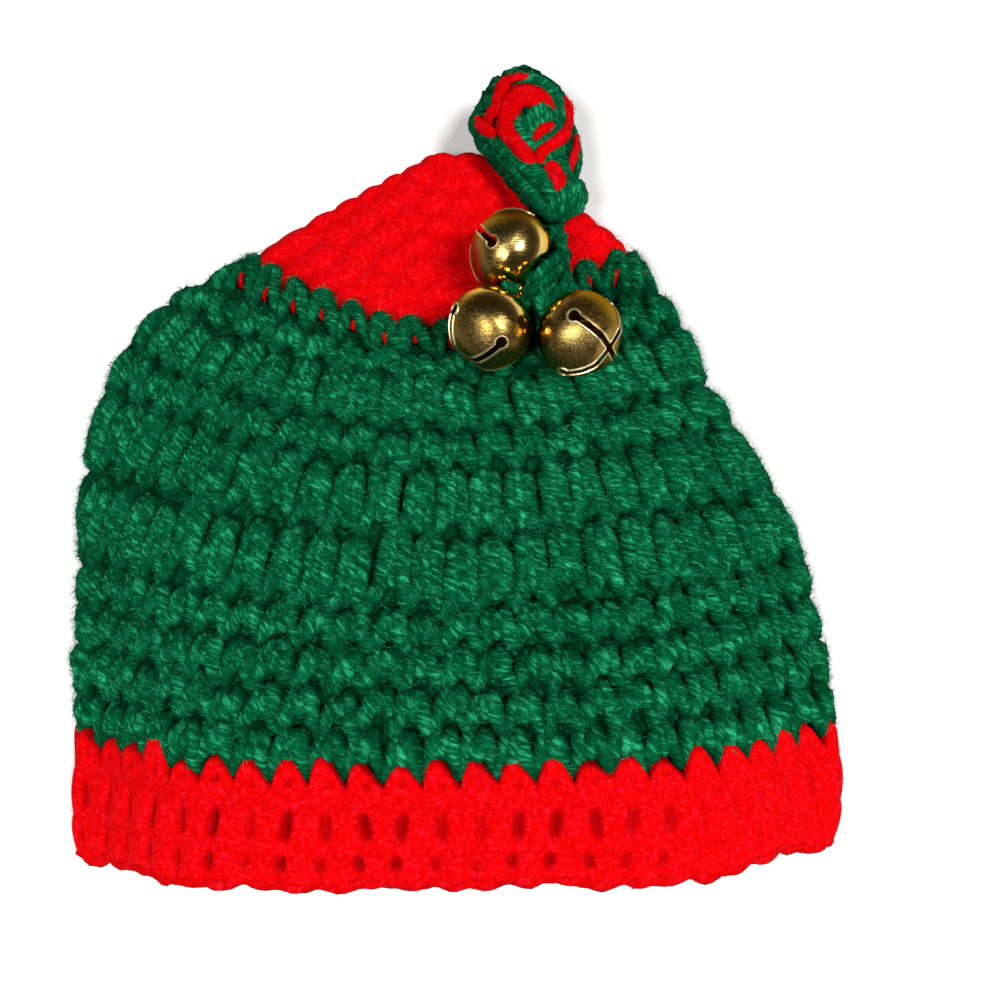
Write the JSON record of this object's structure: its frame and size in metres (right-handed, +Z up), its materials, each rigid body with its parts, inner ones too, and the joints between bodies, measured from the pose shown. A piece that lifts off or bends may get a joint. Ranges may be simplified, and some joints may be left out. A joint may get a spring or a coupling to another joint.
{
  "type": "crocheted christmas beanie",
  "caption": "Small crocheted beanie lying flat, red band and crown, green body, a wound yarn knob at its tip and gold jingle bells tied below the knob.",
  "frame": {"origin": "on the underside that the hat lies on, below the middle of the green body", "axes": "+Z up out of the surface it lies on, +Y from the mouth to the crown's tip, +X to the right of the front layer"},
  "size_m": [0.1771, 0.1846, 0.0346],
  "materials": {
    "crown": "red worsted crochet",
    "body": "green worsted crochet",
    "band": "red worsted crochet",
    "knob": "wound green and red yarn",
    "bell_tie": "green yarn",
    "bell_1": "polished, finely scratched",
    "bell_2": "polished, finely scratched",
    "bell_3": "polished, finely scratched"
  },
  "bodies": {
    "root": {"crown": "crown", "body": "body", "band": "band", "knob": "knob", "bell_tie": "bell_tie", "bell_1": "bell_1", "bell_2": "bell_2", "bell_3": "bell_3"}
  },
  "joints": []
}
